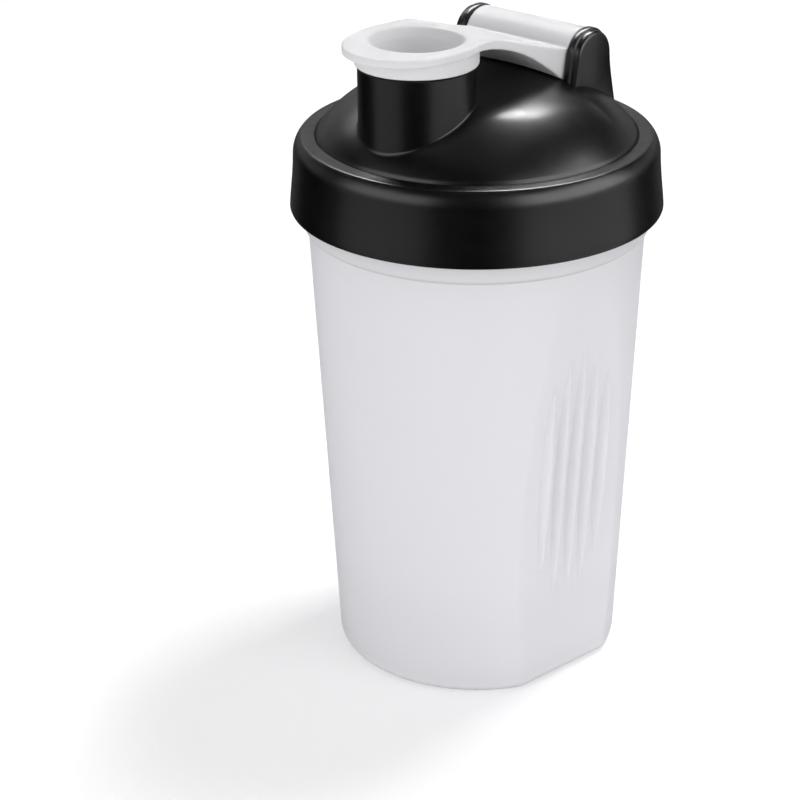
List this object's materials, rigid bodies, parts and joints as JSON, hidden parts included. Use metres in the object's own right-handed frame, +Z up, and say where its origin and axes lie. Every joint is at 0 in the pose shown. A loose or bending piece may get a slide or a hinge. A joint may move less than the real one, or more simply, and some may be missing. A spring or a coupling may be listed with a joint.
{
  "type": "shaker bottle",
  "caption": "Protein shaker bottle: frosted cup with flat ribbed grips, black screw lid with spout, and white hinged flip cap.",
  "frame": {"origin": "centre of the cup's foot, on the surface that the bottle stands on", "axes": "+Z up along the cup's axis, -Y towards the spout and the cap's pull tab, +Y towards the cap's hinge, X along the hinge axis"},
  "size_m": [0.092, 0.092, 0.1663],
  "materials": {
    "frosted_plastic": "frosted translucent polypropylene, faint satin sheen",
    "black_plastic": "satin black polypropylene",
    "white_plastic": "smooth white polypropylene, semi gloss",
    "silicone": "milky clear silicone",
    "sieve_plastic": "natural translucent polypropylene"
  },
  "bodies": {
    "cup": {"cup": "frosted_plastic"},
    "seal": {"lid_gasket": "silicone"},
    "lid": {"lid": "black_plastic"},
    "cap": {"flip_cap": "white_plastic"},
    "sieve": {"mixing_sieve": "sieve_plastic"}
  },
  "joints": [
    {"name": "lid_lift", "type": "slide", "parent": "cup", "child": "seal", "axis": [0, 0, 1], "range_m": [0, 0.036]},
    {"name": "lid_turn", "type": "hinge", "parent": "seal", "child": "lid", "pos_m": [0, 0, 0.136], "axis": [0, 0, 1], "range_deg": [0, 1079.9]},
    {"name": "cap_flip", "type": "hinge", "parent": "lid", "child": "cap", "pos_m": [0, 0.0214, 0.1551], "axis": [-1, 0, 0], "range_deg": [0, 160]},
    {"name": "sieve_lift", "type": "slide", "parent": "cup", "child": "sieve", "axis": [0, 0, 1], "range_m": [0, 0.014]}
  ],
  "couplings": [
    {"joint": "lid_lift", "follows": "lid_turn", "m_per_rad": 0.0019099},
    {"joint": "sieve_lift", "follows": "lid_turn", "m_per_rad": 0.00074}
  ]
}
